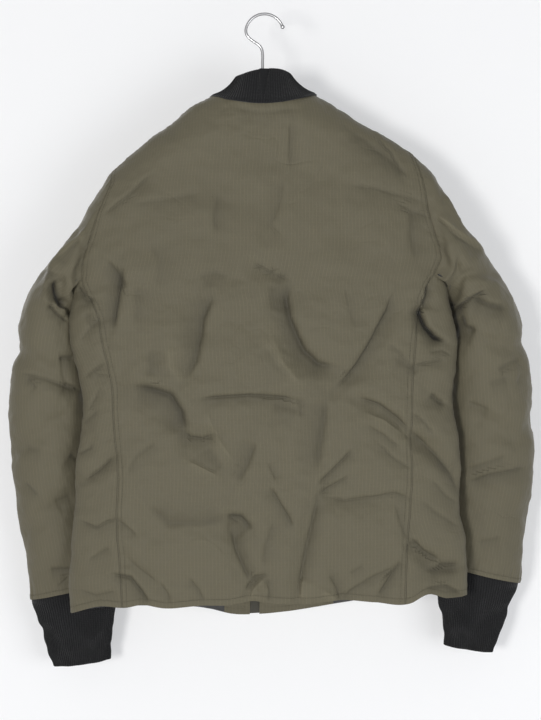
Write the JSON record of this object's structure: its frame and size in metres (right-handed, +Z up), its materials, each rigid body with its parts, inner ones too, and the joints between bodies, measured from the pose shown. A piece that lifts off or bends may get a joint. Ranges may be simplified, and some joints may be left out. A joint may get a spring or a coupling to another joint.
{
  "type": "padded bomber jacket on a hanger",
  "caption": "Lightly padded zip jacket with a rib stand collar and rib cuffs, hung flat on a plain hanger with a wire hook.",
  "frame": {"origin": "inside top of the hanger's hook, where a rail holds it", "axes": "+Z up along the hook's stem, +Y out of the garment's back, +X to the wearer's left"},
  "size_m": [0.6978, 0.1612, 0.8728],
  "materials": {
    "shell": "olive-drab ripstop with a dull sheen, stitched seams",
    "rib_knit": "charcoal rib knit, matte",
    "zip_tape": "dark woven tape with moulded teeth",
    "zip_metal": "dark nickel, satin",
    "hanger_wood": "plain wood, satin lacquer",
    "chrome": "polished"
  },
  "bodies": {
    "jacket": {"back": "shell", "front_left": "shell", "front_right": "shell", "sleeve_left": "shell", "sleeve_right": "shell", "collar": "rib_knit", "cuff_left": "rib_knit", "cuff_right": "rib_knit", "zip_tape": "zip_tape", "zip_slider": "zip_metal", "hanger_arms": "hanger_wood", "hanger_hook": "chrome"},
    "pull_tab": {"zip_pull": "zip_metal"}
  },
  "joints": [
    {"name": "pull_hinge", "type": "hinge", "parent": "jacket", "child": "pull_tab", "pos_m": [0, -0.03647, -0.13697], "axis": [-1, 0, 0], "range_deg": [0, 150]}
  ]
}
